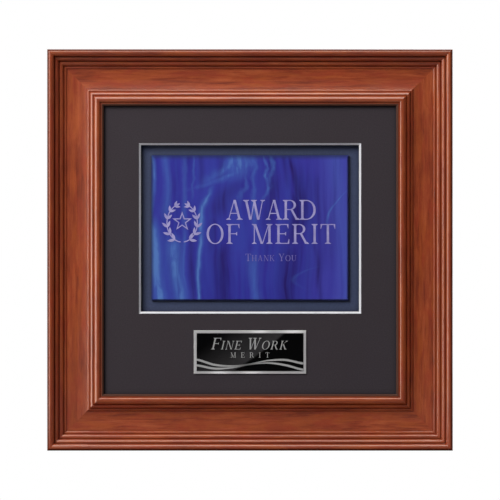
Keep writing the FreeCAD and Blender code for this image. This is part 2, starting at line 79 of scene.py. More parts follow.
class Shader:
    """One procedural material and short ways to add nodes to it."""

    def __init__(self, name):
        self.material = bpy.data.materials.new(name)
        self.material.use_nodes = True
        self.tree = self.material.node_tree
        self.surface = self.tree.nodes["Principled BSDF"]
        # The point being shaded, in the piece's own metres.
        self.place = self.node("ShaderNodeTexCoord").outputs["Object"]

    def node(self, kind, inputs=None, **settings):
        made = self.tree.nodes.new(kind)
        for key, value in settings.items():
            setattr(made, key, value)
        for key, value in (inputs or {}).items():
            self.feed(made.inputs[key], value)
        return made

    def feed(self, socket, value):
        if isinstance(value, bpy.types.NodeSocket):
            self.tree.links.new(value, socket)
        elif isinstance(value, tuple) and len(value) == 3 and socket.type == "RGBA":
            socket.default_value = (*value, 1.0)
        else:
            socket.default_value = value

    def axis(self, vector, name):
        return self.node("ShaderNodeSeparateXYZ", {"Vector": vector}).outputs[name]

    def facing(self, name):
        """One component of the surface's true normal, in the plaque's frame at rest."""
        return self.axis(self.node("ShaderNodeTexCoord").outputs["Normal"], name)

    def vector(self, x, y, z):
        return self.node("ShaderNodeCombineXYZ", {"X": x, "Y": y, "Z": z}).outputs["Vector"]

    def mapped(self, vector, scale, shift=(0.0, 0.0, 0.0), turn=(0.0, 0.0, 0.0)):
        inputs = {"Vector": vector, "Scale": scale, "Location": shift, "Rotation": turn}
        return self.node("ShaderNodeMapping", inputs).outputs["Vector"]

    def noise(self, vector, scale=1.0, detail=3.0, rough=0.5, warp=0.0):
        inputs = {"Vector": vector, "Scale": scale, "Detail": detail, "Roughness": rough, "Distortion": warp}
        return self.node("ShaderNodeTexNoise", inputs).outputs["Fac"]

    def cells(self, vector, scale, output="Distance"):
        return self.node("ShaderNodeTexVoronoi", {"Vector": vector, "Scale": scale}).outputs[output]

    def math(self, operation, a, b=0.0, clamp=False):
        return self.node("ShaderNodeMath", {0: a, 1: b}, operation=operation, use_clamp=clamp).outputs[0]

    def plus(self, a, b):
        return self.math("ADD", a, b)

    def minus(self, a, b):
        return self.math("SUBTRACT", a, b)

    def times(self, a, b):
        return self.math("MULTIPLY", a, b)

    def over(self, a, b):
        return self.math("DIVIDE", a, b)

    def larger(self, a, b):
        return self.math("MAXIMUM", a, b)

    def fade(self, value, low, high, at_low=0.0, at_high=1.0):
        """Runs smoothly from at_low, where value is low, to at_high, where it is high."""
        inputs = {"Value": value, "From Min": low, "From Max": high, "To Min": at_low, "To Max": at_high}
        return self.node("ShaderNodeMapRange", inputs, interpolation_type="SMOOTHSTEP").outputs["Result"]

    def mix(self, share, a, b):
        """Colour a where share is 0, to colour b where it is 1."""
        # Inputs 6 and 7 and output 2 are the node's sockets for colours.
        return self.node("ShaderNodeMix", {0: share, 6: a, 7: b}, data_type="RGBA").outputs[2]

    def ramp(self, share, stops):
        made = self.node("ShaderNodeValToRGB", {"Fac": share})
        elements = made.color_ramp.elements
        while len(elements) < len(stops):
            elements.new(0.5)
        for element, (position, colour) in zip(elements, stops):
            element.position = position
            element.color = (*colour, 1.0)
        return made.outputs["Color"]

    def bell(self, value, middle, half):
        """1 where the value is at the middle, falling smoothly on both sides of it."""
        off = self.over(self.minus(value, middle), half)
        return self.math("EXPONENT", self.times(self.times(off, off), -1.0))

    def curve(self, value, heights):
        """Reads evenly spaced heights, each from 0 to 1, at a value from 0 to 1."""
        made = self.node("ShaderNodeFloatCurve", {"Value": value})
        line = made.mapping.curves[0]
        steps = len(heights) - 1
        line.points[0].location = (0.0, heights[0])
        line.points[-1].location = (1.0, heights[-1])
        for i in range(1, steps):
            line.points.new(i / steps, heights[i])
        for point in line.points:
            point.handle_type = "VECTOR"
        made.mapping.update()
        return made.outputs["Value"]

    def hollow(self, distance):
        """1 on open ground, down to 0 deep in a corner."""
        return self.node("ShaderNodeAmbientOcclusion", {"Distance": distance}, samples=8).outputs["AO"]

    def edge(self, radius):
        """0 on a flat, rising where the surface turns within the radius."""
        softened = self.node("ShaderNodeBevel", {"Radius": radius}, samples=4).outputs["Normal"]
        true = self.node("ShaderNodeNewGeometry").outputs["Normal"]
        made = self.node("ShaderNodeVectorMath", {0: softened, 1: true}, operation="DOT_PRODUCT")
        return self.math("SUBTRACT", 1.0, made.outputs["Value"], clamp=True)

    def bump(self, height, depth, under=None, strength=1.0):
        inputs = {"Height": height, "Distance": depth, "Strength": strength}
        if under is not None:
            inputs["Normal"] = under
        return self.node("ShaderNodeBump", inputs).outputs["Normal"]

    def finish(self, **inputs):
        """Sets the surface's inputs; an underscore in a key stands for a space."""
        for key, value in inputs.items():
            self.feed(self.surface.inputs[key.replace("_", " ")], value)
        return self.material


# -------- materials: the frame


WOOD_DEEP = (0.165, 0.018, 0.0045)
WOOD_MID = (0.350, 0.053, 0.0115)
WOOD_LIGHT = (0.530, 0.115, 0.032)
WOOD_ORANGE = (0.460, 0.092, 0.014)
WOOD_RUDDY = (0.360, 0.036, 0.012)
WOOD_BARE = (0.46, 0.30, 0.17)
WOOD_BARE_DARK = (0.30, 0.17, 0.085)
# A dark red-brown: the glaze in the pores and grooves, and painted shade in the grooves and on the outer rim.
GLAZE_AND_PAINTED_SHADE = (0.085, 0.0075, 0.0007)
LIP_STAIN = (0.105, 0.042, 0.028)

# How far a point is from its rail's outer edge says where it is on the moulding's section. Each place there
# is measured against the mean of those beside it, SECTION_LOOKS on either side, out to SECTION_REACH. A place
# SECTION_DEPTH above the mean is a crest, and one that far below it is a groove. The section is drawn by the
# faces that look forward, whose normals have a y below FACES_FRONT.
SECTION_STEPS = 120
SECTION_LOOKS = 8
SECTION_REACH = 1.4 * MM
SECTION_DEPTH = 0.55 * MM
FACES_FRONT = -0.1

# The painted shade along the outer rim: its full and faded distances from the outer edge. The stained lip's
# full and faded distances from the inner edge.
RIM_FULL = 1.2 * MM
RIM_GONE = 2.6 * MM
LIP_FULL = 1.6 * MM
LIP_GONE = 2.4 * MM


def moulding_front(rail):
    """The front of the moulding as (distance from the outer edge, height off the wall) points, in order."""
    mesh = NODES[rail].data
    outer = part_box(rail)[0].x
    points = set()
    for face in mesh.polygons:
        if face.normal.y < FACES_FRONT:
            for index in face.vertices:
                corner = mesh.vertices[index].co
                points.add((round(corner.x - outer, 6), -corner.y))
    return sorted(points)


def height_at(points, distance):
    """The height of the moulding at a distance, held level beyond its two ends."""
    for (x0, y0), (x1, y1) in zip(points, points[1:]):
        if x0 <= distance < x1:
            return y0 + (y1 - y0) * (distance - x0) / (x1 - x0)
    return points[0][1] if distance < points[0][0] else points[-1][1]


def moulding_relief():
    """How proud (towards 1) or sunk (towards 0) each place across the moulding is against those beside it."""
    points = moulding_front("frame_rail_left")
    wide = points[-1][0]
    looks = range(-SECTION_LOOKS, SECTION_LOOKS + 1)
    relief = []
    for i in range(SECTION_STEPS + 1):
        here = wide * i / SECTION_STEPS
        beside = [height_at(points, here + SECTION_REACH * look / SECTION_LOOKS) for look in looks]
        proud = height_at(points, here) - sum(beside) / len(beside)
        relief.append(min(1.0, max(0.0, 0.5 + 0.5 * proud / SECTION_DEPTH)))
    return wide, relief


MOULDING_WIDE, MOULDING_RELIEF = moulding_relief()


def wood_grain(s, along, seed):
    """The noises of the wood's figure, all but the blotches drawn out along X (0) or Z (2)."""

    def stretched(across, length, shift=0.0):
        scale = [1.0 / across] * 3
        scale[along] = 1.0 / length
        return s.mapped(s.place, tuple(scale), (seed + shift, seed * 0.7, seed * 1.3))

    figure = s.noise(stretched(5.0 * MM, 46 * MM), detail=4.0, rough=0.6, warp=0.6)
    streak = s.noise(stretched(1.6 * MM, 28 * MM), detail=4.0, rough=0.65, warp=0.3)
    return {
        "tone": s.plus(s.times(figure, 0.6), s.times(streak, 0.4)),
        "fibre": s.noise(stretched(0.35 * MM, 14 * MM), detail=2.0, rough=0.6),
        "pore": s.fade(s.noise(stretched(0.16 * MM, 2.6 * MM), detail=1.0), 0.63, 0.72),
        "warmth": s.noise(stretched(6.5 * MM, 50 * MM, 3.0), rough=0.6, warp=0.4),
        "blush": s.noise(stretched(8.0 * MM, 30 * MM, 9.0), rough=0.6, warp=0.4),
        "blotch": s.noise(s.place, 34.0, detail=2.0),
    }


def wood_stain(s, grain):
    """The colour of the stained wood under its glaze."""
    tone = s.fade(grain["tone"], 0.34, 0.66)
    stain = s.ramp(tone, ((0.0, WOOD_DEEP), (0.5, WOOD_MID), (1.0, WOOD_LIGHT)))
    stain = s.mix(s.fade(grain["warmth"], 0.44, 0.66, 0.0, 0.75), stain, WOOD_ORANGE)
    stain = s.mix(s.fade(grain["blush"], 0.46, 0.66, 0.0, 0.65), stain, WOOD_RUDDY)
    stain = s.mix(0.80, WOOD_MID, stain)
    stain = s.mix(s.fade(grain["fibre"], 0.35, 0.75, 0.0, 0.25), stain, WOOD_LIGHT)
    stain = s.mix(s.fade(grain["blotch"], 0.35, 0.70, 0.0, 0.25), stain, WOOD_DEEP)
    return s.mix(s.times(grain["pore"], 0.5), stain, GLAZE_AND_PAINTED_SHADE)


def wood(rail, along, outward, seed):
    """Stained, lacquered hardwood with glaze and painted shade in its grooves and on its rim, bare where it
    faces the wall.

    The grain runs along X (0) or Z (2). The outer edge is on the outward side, 1 or -1, of the other axis.
    """
    s = Shader(rail + "_look")
    grain = wood_grain(s, along, seed)
    side = 2 - along
    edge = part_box(rail)[1 if outward > 0 else 0][side]
    off = s.minus(s.axis(s.place, "XYZ"[side]), edge)
    inward = s.times(off, -outward / MOULDING_WIDE)
    front = s.fade(s.times(s.facing("XYZ"[side]), outward), 0.90, 0.98, 1.0, 0.0)
    relief = s.curve(inward, MOULDING_RELIEF)
    sunk = s.fade(relief, 0.12, 0.50, 1.0, 0.0)
    proud = s.fade(relief, 0.55, 0.95)
    # Glaze and painted shade: the sunk places across the section darken, most near the outer edge, not on the
    # flanks.
    groove_glaze_and_shade = s.times(sunk, s.fade(inward, 0.12, 0.36, 0.90, 0.28))
    groove_glaze_and_shade = s.times(groove_glaze_and_shade, front)
    # Painted shade: a dark band along the outer rim, not on its flank.
    rim = s.fade(inward, RIM_FULL / MOULDING_WIDE, RIM_GONE / MOULDING_WIDE, 0.75, 0.0)
    rim = s.times(rim, front)
    lip = s.fade(inward, 1.0 - LIP_GONE / MOULDING_WIDE, 1.0 - LIP_FULL / MOULDING_WIDE)

    stain = s.mix(groove_glaze_and_shade, wood_stain(s, grain), GLAZE_AND_PAINTED_SHADE)
    # Crests a little lighter: partly rubbed wear, partly a painted highlight.
    stain = s.mix(s.times(proud, 0.15), stain, WOOD_LIGHT)
    stain = s.mix(rim, stain, GLAZE_AND_PAINTED_SHADE)
    stain = s.mix(lip, stain, LIP_STAIN)
    raw = s.mix(s.fade(grain["tone"], 0.35, 0.68), WOOD_BARE, WOOD_BARE_DARK)
    bare = s.fade(s.facing("Y"), 0.5, 0.8)
    colour = s.mix(bare, stain, raw)

    height = s.minus(s.times(grain["fibre"], 0.3), grain["pore"])
    rough = s.plus(s.fade(grain["fibre"], 0.3, 0.7, 0.48, 0.60), s.times(bare, 0.25))
    dull = s.times(s.larger(s.larger(groove_glaze_and_shade, rim), lip), 0.9)
    flank = s.times(s.minus(1.0, front), 0.65)
    dull = s.larger(bare, s.larger(dull, flank))
    shiny = s.math("SUBTRACT", 1.0, dull, clamp=True)
    return s.finish(
        Base_Color=colour,
        Roughness=rough,
        Normal=s.bump(height, 0.03 * MM, strength=0.5),
        Specular_IOR_Level=s.times(shiny, 0.12),
        Coat_Weight=shiny,
        Coat_Roughness=s.fade(grain["blotch"], 0.3, 0.7, 0.13, 0.19),
        Coat_IOR=1.6,
    )


# -------- materials: boards and paper


def mat_paper():
    """Charcoal rag paper: fine mottle, short pale fibres and a soft tooth."""
    s = Shader("mat_paper_look")
    mottle = s.noise(s.place, 900.0, detail=4.0, rough=0.7)
    cloud = s.noise(s.place, 22.0, detail=2.0)
    fibre = s.noise(s.mapped(s.place, (5200.0, 5200.0, 900.0), turn=(0.0, 0.6, 0.0)), detail=2.0)
    cross = s.noise(s.mapped(s.place, (900.0, 5200.0, 5200.0), turn=(0.0, 0.35, 0.0)), detail=2.0)
    colour = s.mix(s.fade(mottle, 0.3, 0.7), (0.0405, 0.0335, 0.0395), (0.0565, 0.0455, 0.0545))
    colour = s.mix(s.fade(cloud, 0.3, 0.7, 0.0, 0.25), colour, (0.046, 0.034, 0.040))
    pale = s.fade(s.larger(fibre, cross), 0.66, 0.80, 0.0, 0.5)
    colour = s.mix(pale, colour, (0.11, 0.10, 0.11))
    # Painted shade: the paper darkens in corners and beside the frame's lip.
    sunk = s.fade(s.hollow(6.0 * MM), 0.45, 1.0, 0.45, 0.0)
    colour = s.mix(sunk, colour, (0.010, 0.010, 0.013))
    tooth = s.bump(s.plus(mottle, s.times(fibre, 0.6)), 0.05 * MM, strength=0.5)
    return s.finish(
        Base_Color=colour, Roughness=0.88, Normal=tooth, Specular_IOR_Level=0.10, Sheen_Weight=0.05
    )


def core_board():
    """The mat's white core: pressed pulp with the knife's faint drag lines along the bevel."""
    s = Shader("mat_core_look")
    pulp = s.noise(s.place, 1600.0, rough=0.65)
    layers = s.noise(s.mapped(s.place, (60.0, 5200.0, 60.0)), detail=2.0)
    colour = s.mix(s.fade(pulp, 0.3, 0.7), (0.90, 0.90, 0.93), (0.78, 0.78, 0.82))
    colour = s.mix(s.fade(layers, 0.45, 0.7, 0.0, 0.3), colour, (0.62, 0.62, 0.67))
    torn = s.bump(s.plus(pulp, layers), 0.04 * MM, strength=0.5)
    return s.finish(Base_Color=colour, Roughness=0.8, Normal=torn)


def mount_paper():
    """Slate-blue board behind the glass, with a faint laid texture."""
    s = Shader("mount_paper_look")
    mottle = s.noise(s.place, 700.0, detail=4.0, rough=0.7)
    laid = s.noise(s.mapped(s.place, (250.0, 250.0, 2600.0)), detail=2.0)
    cloud = s.noise(s.place, 30.0, detail=2.0)
    colour = s.mix(s.fade(mottle, 0.3, 0.7), (0.041, 0.056, 0.125), (0.052, 0.071, 0.152))
    colour = s.mix(s.fade(cloud, 0.3, 0.7, 0.0, 0.3), colour, (0.056, 0.072, 0.140))
    # Painted shade: the board darkens in corners and along the mat's and the glass's edges.
    sunk = s.fade(s.hollow(11.0 * MM), 0.35, 1.0, 0.75, 0.0)
    # Painted shadow: the strips above the glass and to the left of it darken, as if the mat kept light from
    # the upper left off them.
    above = s.minus(s.axis(s.place, "Z"), GLASS[1].z)
    above = s.fade(above, -2.0 * MM, 7.0 * MM)
    beside = s.minus(GLASS[0].x, s.axis(s.place, "X"))
    beside = s.fade(beside, -1.0 * MM, 7.0 * MM, 0.0, 0.7)
    sunk = s.larger(sunk, s.times(s.larger(above, beside), 0.55))
    colour = s.mix(sunk, colour, (0.010, 0.014, 0.030))
    colour = s.mix(s.fade(s.facing("Y"), 0.4, 0.6), colour, (0.66, 0.65, 0.62))
    tooth = s.bump(s.plus(mottle, laid), 0.04 * MM, strength=0.5)
    return s.finish(Base_Color=colour, Roughness=0.8, Normal=tooth, Specular_IOR_Level=0.3)


def foam_board():
    """White paper skins over a bubbly foam core that shows at the cut edges."""
    s = Shader("foam_board_look")
    skin = s.math("ABSOLUTE", s.facing("Y"))
    bubbles = s.cells(s.place, 2200.0)
    grain = s.noise(s.place, 900.0)
    paper = s.mix(s.fade(grain, 0.3, 0.7), (0.82, 0.82, 0.80), (0.74, 0.74, 0.71))
    foam = s.mix(s.fade(bubbles, 0.0, 0.5), (0.60, 0.60, 0.57), (0.86, 0.86, 0.83))
    colour = s.mix(s.fade(skin, 0.4, 0.6), foam, paper)
    pitted = s.bump(bubbles, 0.15 * MM, strength=0.6)
    return s.finish(
        Base_Color=colour, Roughness=0.75, Normal=pitted, Subsurface_Weight=0.1, Subsurface_Scale=0.5 * MM
    )


def foam_tape():
    """Grey closed-cell foam with a slightly tacky skin."""
    s = Shader("foam_tape_look")
    bubbles = s.cells(s.place, 3000.0)
    cloud = s.noise(s.place, 250.0, detail=2.0)
    colour = s.mix(s.fade(bubbles, 0.05, 0.55), (0.30, 0.30, 0.31), (0.52, 0.52, 0.52))
    colour = s.mix(s.fade(cloud, 0.4, 0.7, 0.0, 0.4), colour, (0.42, 0.41, 0.39))
    return s.finish(Base_Color=colour, Roughness=0.6, Normal=s.bump(bubbles, 0.1 * MM, strength=0.6))


def hardboard():
    """Pressed wood fibre: flecks of dark and light, a smooth waxy face and scuffs."""
    s = Shader("hardboard_look")
    fleck = s.noise(s.place, 1100.0, detail=4.0, rough=0.75)
    shive = s.noise(s.mapped(s.place, (2600.0, 2600.0, 420.0), turn=(0.0, 0.9, 0.0)), detail=2.0)
    other = s.noise(s.mapped(s.place, (420.0, 2600.0, 2600.0), turn=(0.0, 0.5, 0.0)), detail=2.0)
    cloud = s.noise(s.place, 18.0)
    browns = ((0.0, (0.13, 0.065, 0.032)), (0.5, (0.20, 0.112, 0.058)), (1.0, (0.29, 0.18, 0.10)))
    colour = s.ramp(s.fade(fleck, 0.3, 0.7), browns)
    colour = s.mix(s.fade(cloud, 0.3, 0.7, 0.0, 0.35), colour, (0.16, 0.085, 0.042))
    colour = s.mix(s.fade(shive, 0.62, 0.74, 0.0, 0.7), colour, (0.38, 0.26, 0.15))
    colour = s.mix(s.fade(other, 0.62, 0.74, 0.0, 0.7), colour, (0.085, 0.04, 0.02))
    scuff = s.noise(s.mapped(s.place, (28.0, 28.0, 300.0), turn=(0.0, 0.4, 0.0)), detail=5.0, rough=0.7)
    scuff = s.fade(scuff, 0.60, 0.72)
    colour = s.mix(s.times(scuff, 0.35), colour, (0.42, 0.31, 0.20))
    rough = s.plus(s.fade(cloud, 0.3, 0.7, 0.38, 0.5), s.times(scuff, 0.2))
    pressed = s.bump(s.plus(fleck, s.times(shive, 0.5)), 0.06 * MM, strength=0.5)
    return s.finish(Base_Color=colour, Roughness=rough, Normal=pressed)


# -------- materials: metal and rubber


def steel(name, light, dark, brush, rough, patina):
    """Plated steel: a spangle of slightly different greys, fine brushing, and dull, darker hollows."""
    s = Shader(name)
    spangle = s.axis(s.cells(s.place, 420.0, output="Color"), "X")
    lines = s.noise(s.mapped(s.place, brush), rough=0.6)
    cloud = s.noise(s.place, 160.0)
    colour = s.mix(s.fade(spangle, 0.0, 1.0, 0.1, 0.6), light, dark)
    colour = s.mix(s.fade(cloud, 0.45, 0.72, 0.0, 0.5), colour, patina)
    sunk = s.fade(s.hollow(1.5 * MM), 0.4, 0.95, 0.7, 0.0)
    colour = s.mix(sunk, colour, tuple(0.25 * c for c in patina))
    worn = s.fade(s.edge(0.3 * MM), 0.02, 0.2, 0.0, 0.5)
    colour = s.mix(worn, colour, (0.85, 0.84, 0.82))
    dull = s.plus(s.fade(cloud, 0.35, 0.7, rough, rough + 0.14), s.times(lines, 0.08))
    return s.finish(
        Base_Color=colour, Roughness=dull, Metallic=1.0, Normal=s.bump(lines, 0.012 * MM, strength=0.6)
    )


def rubber():
    """Black rubber with a fine moulded grain and a bloom of dust."""
    s = Shader("bumper_rubber_look")
    grain = s.noise(s.place, 1800.0, rough=0.7)
    bloom = s.noise(s.place, 260.0)
    colour = s.mix(s.fade(bloom, 0.4, 0.75, 0.0, 0.5), (0.020, 0.020, 0.021), (0.075, 0.073, 0.070))
    rough = s.fade(bloom, 0.3, 0.7, 0.55, 0.8)
    return s.finish(Base_Color=colour, Roughness=rough, Normal=s.bump(grain, 0.06 * MM, strength=0.6))


# -------- materials: art glass and its artwork


GLASS_WIDE = GLASS[1].x - GLASS[0].x
GLASS_HIGH = GLASS[1].z - GLASS[0].z
GLASS_MIDDLE = (GLASS[0] + GLASS[1]) / 2

# Streams in the glass: name, strength, half width, the heights of the low and the high end, then where the
# stream's middle runs across the glass at its low end, half way and its high end. Places are shares of the
# glass's width from its left side and of its height from its bottom. Ends outside 0 to 1 run off the glass.
LIGHT_STREAMS = (
    ("left_edge", 0.80, 0.012, 0.40, 1.20, 0.010, 0.005, 0.004),
    ("left_fan", 1.00, 0.036, -0.15, 0.55, 0.055, 0.026, 0.008),
    ("foot_sheet", 0.85, 0.044, -0.15, 0.42, 0.155, 0.138, 0.118),
    ("foot_sheet_rim", 0.55, 0.010, -0.15, 0.48, 0.184, 0.180, 0.176),
    ("left_veil", 0.55, 0.020, 0.58, 1.20, 0.080, 0.073, 0.067),
    ("second_veil", 0.50, 0.012, 0.52, 1.20, 0.176, 0.170, 0.166),
    ("third_veil", 0.45, 0.007, 0.72, 1.20, 0.218, 0.222, 0.228),
    ("long_stream", 0.90, 0.010, -0.15, 0.48, 0.240, 0.248, 0.259),
    ("long_stream_head", 0.90, 0.013, 0.44, 0.76, 0.256, 0.268, 0.304),
    ("wisp_low_arm", 0.75, 0.034, 0.79, 1.02, 0.270, 0.445, 0.482),
    ("wisp_high_arm", 0.75, 0.034, 0.82, 1.10, 0.300, 0.395, 0.450),
    ("wisp_back", 0.50, 0.010, 0.70, 0.95, 0.452, 0.462, 0.474),
    ("high_sheet", 0.90, 0.060, 0.86, 1.30, 0.425, 0.445, 0.455),
    ("high_fall", 0.50, 0.013, 0.52, 1.20, 0.510, 0.504, 0.498),
    ("hook", 0.85, 0.010, 0.80, 1.15, 0.590, 0.571, 0.562),
    ("hook_foot", 0.85, 0.010, 0.72, 0.81, 0.572, 0.584, 0.592),
    ("hook_veil", 0.60, 0.012, 0.80, 1.20, 0.598, 0.614, 0.624),
    ("low_middle", 0.60, 0.026, -0.15, 0.30, 0.535, 0.520, 0.500),
    ("low_wisp", 0.34, 0.012, 0.12, 0.20, 0.740, 0.735, 0.775),
    ("right_thread", 0.75, 0.007, 0.52, 0.76, 0.886, 0.916, 1.004),
    ("right_sheet", 0.30, 0.050, -0.20, 1.20, 0.975, 0.965, 0.925),
)
DARK_STREAMS = (
    ("heart", 0.95, 0.017, 0.66, 0.97, 0.756, 0.738, 0.718),
    ("heart_foot", 0.80, 0.036, 0.36, 0.74, 0.690, 0.725, 0.742),
    ("heart_side", 0.65, 0.028, 0.52, 0.84, 0.582, 0.600, 0.628),
    ("under_wisp", 0.75, 0.050, 0.58, 0.80, 0.340, 0.370, 0.410),
    ("by_emblem", 0.65, 0.022, 0.34, 0.58, 0.305, 0.310, 0.320),
    ("low_left", 0.75, 0.040, -0.15, 0.38, 0.345, 0.350, 0.365),
    ("low_right", 0.80, 0.055, -0.15, 0.38, 0.700, 0.700, 0.690),
    ("left_gap", 0.65, 0.013, -0.15, 0.52, 0.212, 0.216, 0.208),
    ("right_gap", 0.65, 0.011, -0.15, 0.44, 0.870, 0.846, 0.814),
    ("high_gap", 0.55, 0.013, 0.78, 1.20, 0.262, 0.260, 0.262),
    ("high_side", 0.55, 0.014, 0.78, 1.20, 0.690, 0.688, 0.684),
    ("wisp_gap", 0.50, 0.018, 0.84, 1.20, 0.350, 0.352, 0.356),
)
STREAM_END = 0.07


def streams(s, table, across, up):
    """The strongest of the table's streams at each point, each strongest along its middle line."""
    strongest = 0.0
    for _, strength, half, low, high, at_low, at_middle, at_high in table:
        bend = 2 * (at_low - 2 * at_middle + at_high)
        along = s.over(s.minus(up, low), high - low)
        lean = s.plus(s.times(along, bend), at_high - at_low - bend)
        middle = s.plus(s.times(along, lean), at_low)
        line = s.bell(across, middle, half)
        begins = s.fade(up, low - STREAM_END, low + STREAM_END)
        ends = s.fade(up, high - STREAM_END, high + STREAM_END, strength, 0.0)
        made = s.times(s.times(line, begins), ends)
        strongest = s.larger(strongest, made)
    return strongest


# How far the glass's threads wander sideways, broadly and finely, in shares of its width.
SWAY = 0.09
RIPPLE = 0.030

# How far in from each side the glass darkens towards its edge: partly the polished edge, partly painted
# shade, widest at the top and the left where the mat's shade falls.
MARGIN_LEFT = 3.2 * MM
MARGIN_RIGHT = 2.6 * MM
MARGIN_FOOT = 1.8 * MM
MARGIN_TOP = 5.0 * MM


def wander(s, noise, reach):
    """The noise as a shift that covers the reach, half of it to each side."""
    return s.times(s.minus(noise, 0.5), reach)


def clear_of_edge(s, across, up):
    """0 at the glass's edge, rising to 1 beyond each side's margin."""
    clear = 1.0
    for share, size, margin in (
        (across, GLASS_WIDE, MARGIN_LEFT),
        (s.minus(1.0, across), GLASS_WIDE, MARGIN_RIGHT),
        (up, GLASS_HIGH, MARGIN_FOOT),
        (s.minus(1.0, up), GLASS_HIGH, MARGIN_TOP),
    ):
        clear = s.math("MINIMUM", clear, s.times(share, size / margin))
    return clear


def light_in_glass(s, across, up, bent, drawn, thread):
    """The light streams, torn like smoke. They curl only in the upper middle, where they make a wisp."""
    smoke = s.noise(s.mapped(drawn, (26.0, 1.0, 5.0), (3.0, 0.0, 6.0)), detail=4.0, rough=0.62, warp=0.6)
    curled = s.times(s.bell(across, 0.44, 0.24), s.fade(up, 0.55, 0.80))
    torn = s.fade(smoke, 0.30, 0.58, s.fade(curled, 0.0, 0.8, 0.74, 0.45), 1.0)
    veil = s.times(s.fade(thread, 0.30, 0.60, 0.70, 1.0), torn)
    curl = s.noise(s.mapped(drawn, (13.0, 1.0, 8.0), (5.0, 0.0, 4.0)), detail=2.0, rough=0.55)
    curl = wander(s, curl, s.fade(curled, 0.0, 1.0, 0.02, 0.11))
    return s.times(streams(s, LIGHT_STREAMS, s.plus(bent, curl), up), veil)


def art_glass():
    """Streaky cobalt glass: colour drawn out in vertical threads, with lighter and darker streams in it."""
    s = Shader("art_glass_look")
    across = s.over(s.minus(s.axis(s.place, "X"), GLASS[0].x), GLASS_WIDE)
    up = s.over(s.minus(s.axis(s.place, "Z"), GLASS[0].z), GLASS_HIGH)
    flat = s.vector(across, 0.0, up)
    sway = s.noise(s.mapped(flat, (2.4, 1.0, 1.6), (4.1, 0.0, 1.7)), detail=1.0, rough=0.4)
    ripple = s.noise(s.mapped(flat, (7.0, 1.0, 3.4), (1.3, 0.0, 8.2)), detail=1.0, rough=0.4)
    bent = s.plus(across, s.plus(wander(s, sway, SWAY), wander(s, ripple, RIPPLE)))
    drawn = s.vector(bent, 0.0, up)
    broad = s.noise(s.mapped(drawn, (9.0, 1.0, 0.9), (2.0, 0.0, 3.0)), rough=0.55)
    thread = s.noise(s.mapped(drawn, (34.0, 1.0, 1.3), (7.0, 0.0, 5.0)))
    cloud = s.noise(s.mapped(drawn, (4.0, 1.0, 3.0), (9.0, 0.0, 2.0)), rough=0.6, warp=0.5)

    blues = ((0.0, (0.027, 0.020, 0.222)), (0.45, (0.042, 0.036, 0.372)), (1.0, (0.053, 0.061, 0.458)))
    colour = s.ramp(s.fade(broad, 0.30, 0.70), blues)
    colour = s.mix(s.fade(thread, 0.35, 0.72, 0.0, 0.6), colour, (0.047, 0.070, 0.450))
    colour = s.mix(s.fade(cloud, 0.48, 0.70, 0.0, 0.45), colour, (0.060, 0.044, 0.410))
    violet = s.times(s.bell(bent, 0.96, 0.13), s.fade(thread, 0.30, 0.60, 0.6, 1.0))
    colour = s.mix(violet, colour, (0.078, 0.074, 0.500))
    dark = s.times(streams(s, DARK_STREAMS, bent, up), s.fade(thread, 0.25, 0.60, 1.0, 0.45))
    colour = s.mix(dark, colour, (0.024, 0.012, 0.120))
    light = light_in_glass(s, across, up, bent, drawn, thread)
    colour = s.mix(light, colour, (0.082, 0.180, 0.600))
    colour = s.mix(s.fade(light, 0.55, 0.95, 0.0, 0.7), colour, (0.125, 0.270, 0.660))
    # A darker margin round the glass: partly the polished edge, partly painted shade.
    margin = s.fade(clear_of_edge(s, across, up), 0.0, 1.0, 0.80, 0.0)
    colour = s.mix(margin, colour, (0.030, 0.040, 0.115))

    seed = s.cells(s.mapped(s.place, (1.0, 1.0, 0.4)), 160.0)
    bubble = s.fade(seed, 0.05, 0.09, 1.0, 0.0)
    wave = s.noise(s.mapped(drawn, (7.0, 1.0, 2.0)), detail=2.0)
    surface = s.bump(wave, 1.2 * MM, strength=0.20)
    surface = s.bump(bubble, 0.05 * MM, under=surface, strength=0.25)
    return s.finish(
        Base_Color=colour,
        Roughness=s.fade(cloud, 0.3, 0.7, 0.06, 0.12),
        Normal=surface,
        IOR=1.52,
        Coat_Weight=0.3,
        Coat_Roughness=0.03,
    )


def etched(name, pale, dim, share):
    """Sand-etched glass with a pale fill; share is how strongly it covers the colour beneath."""
    s = Shader(name)
    frost = s.noise(s.place, 2600.0, rough=0.7)
    cloud = s.noise(s.place, 120.0)
    colour = s.mix(s.fade(cloud, 0.3, 0.7), pale, dim)
    colour = s.mix(s.fade(frost, 0.35, 0.75, 0.0, 0.4), colour, (0.10, 0.10, 0.40))
    colour = s.mix(share, (0.045, 0.04, 0.30), colour)
    return s.finish(Base_Color=colour, Roughness=0.55, Normal=s.bump(frost, 0.03 * MM, strength=0.6))


# -------- materials: the nameplate


# How far the painted highlights on the backplate's border fade in and out, at the edges of the plate before
# it.
BORDER_SOFT = 1 * MM

# The painted reflection's front edge: where it crosses the nameplate's top, how far it has gone back at the
# foot, and its bow, all in shares of the nameplate's width.
SHEEN_TOP = 0.84
SHEEN_LEAN = 0.48
SHEEN_BOW = 0.10


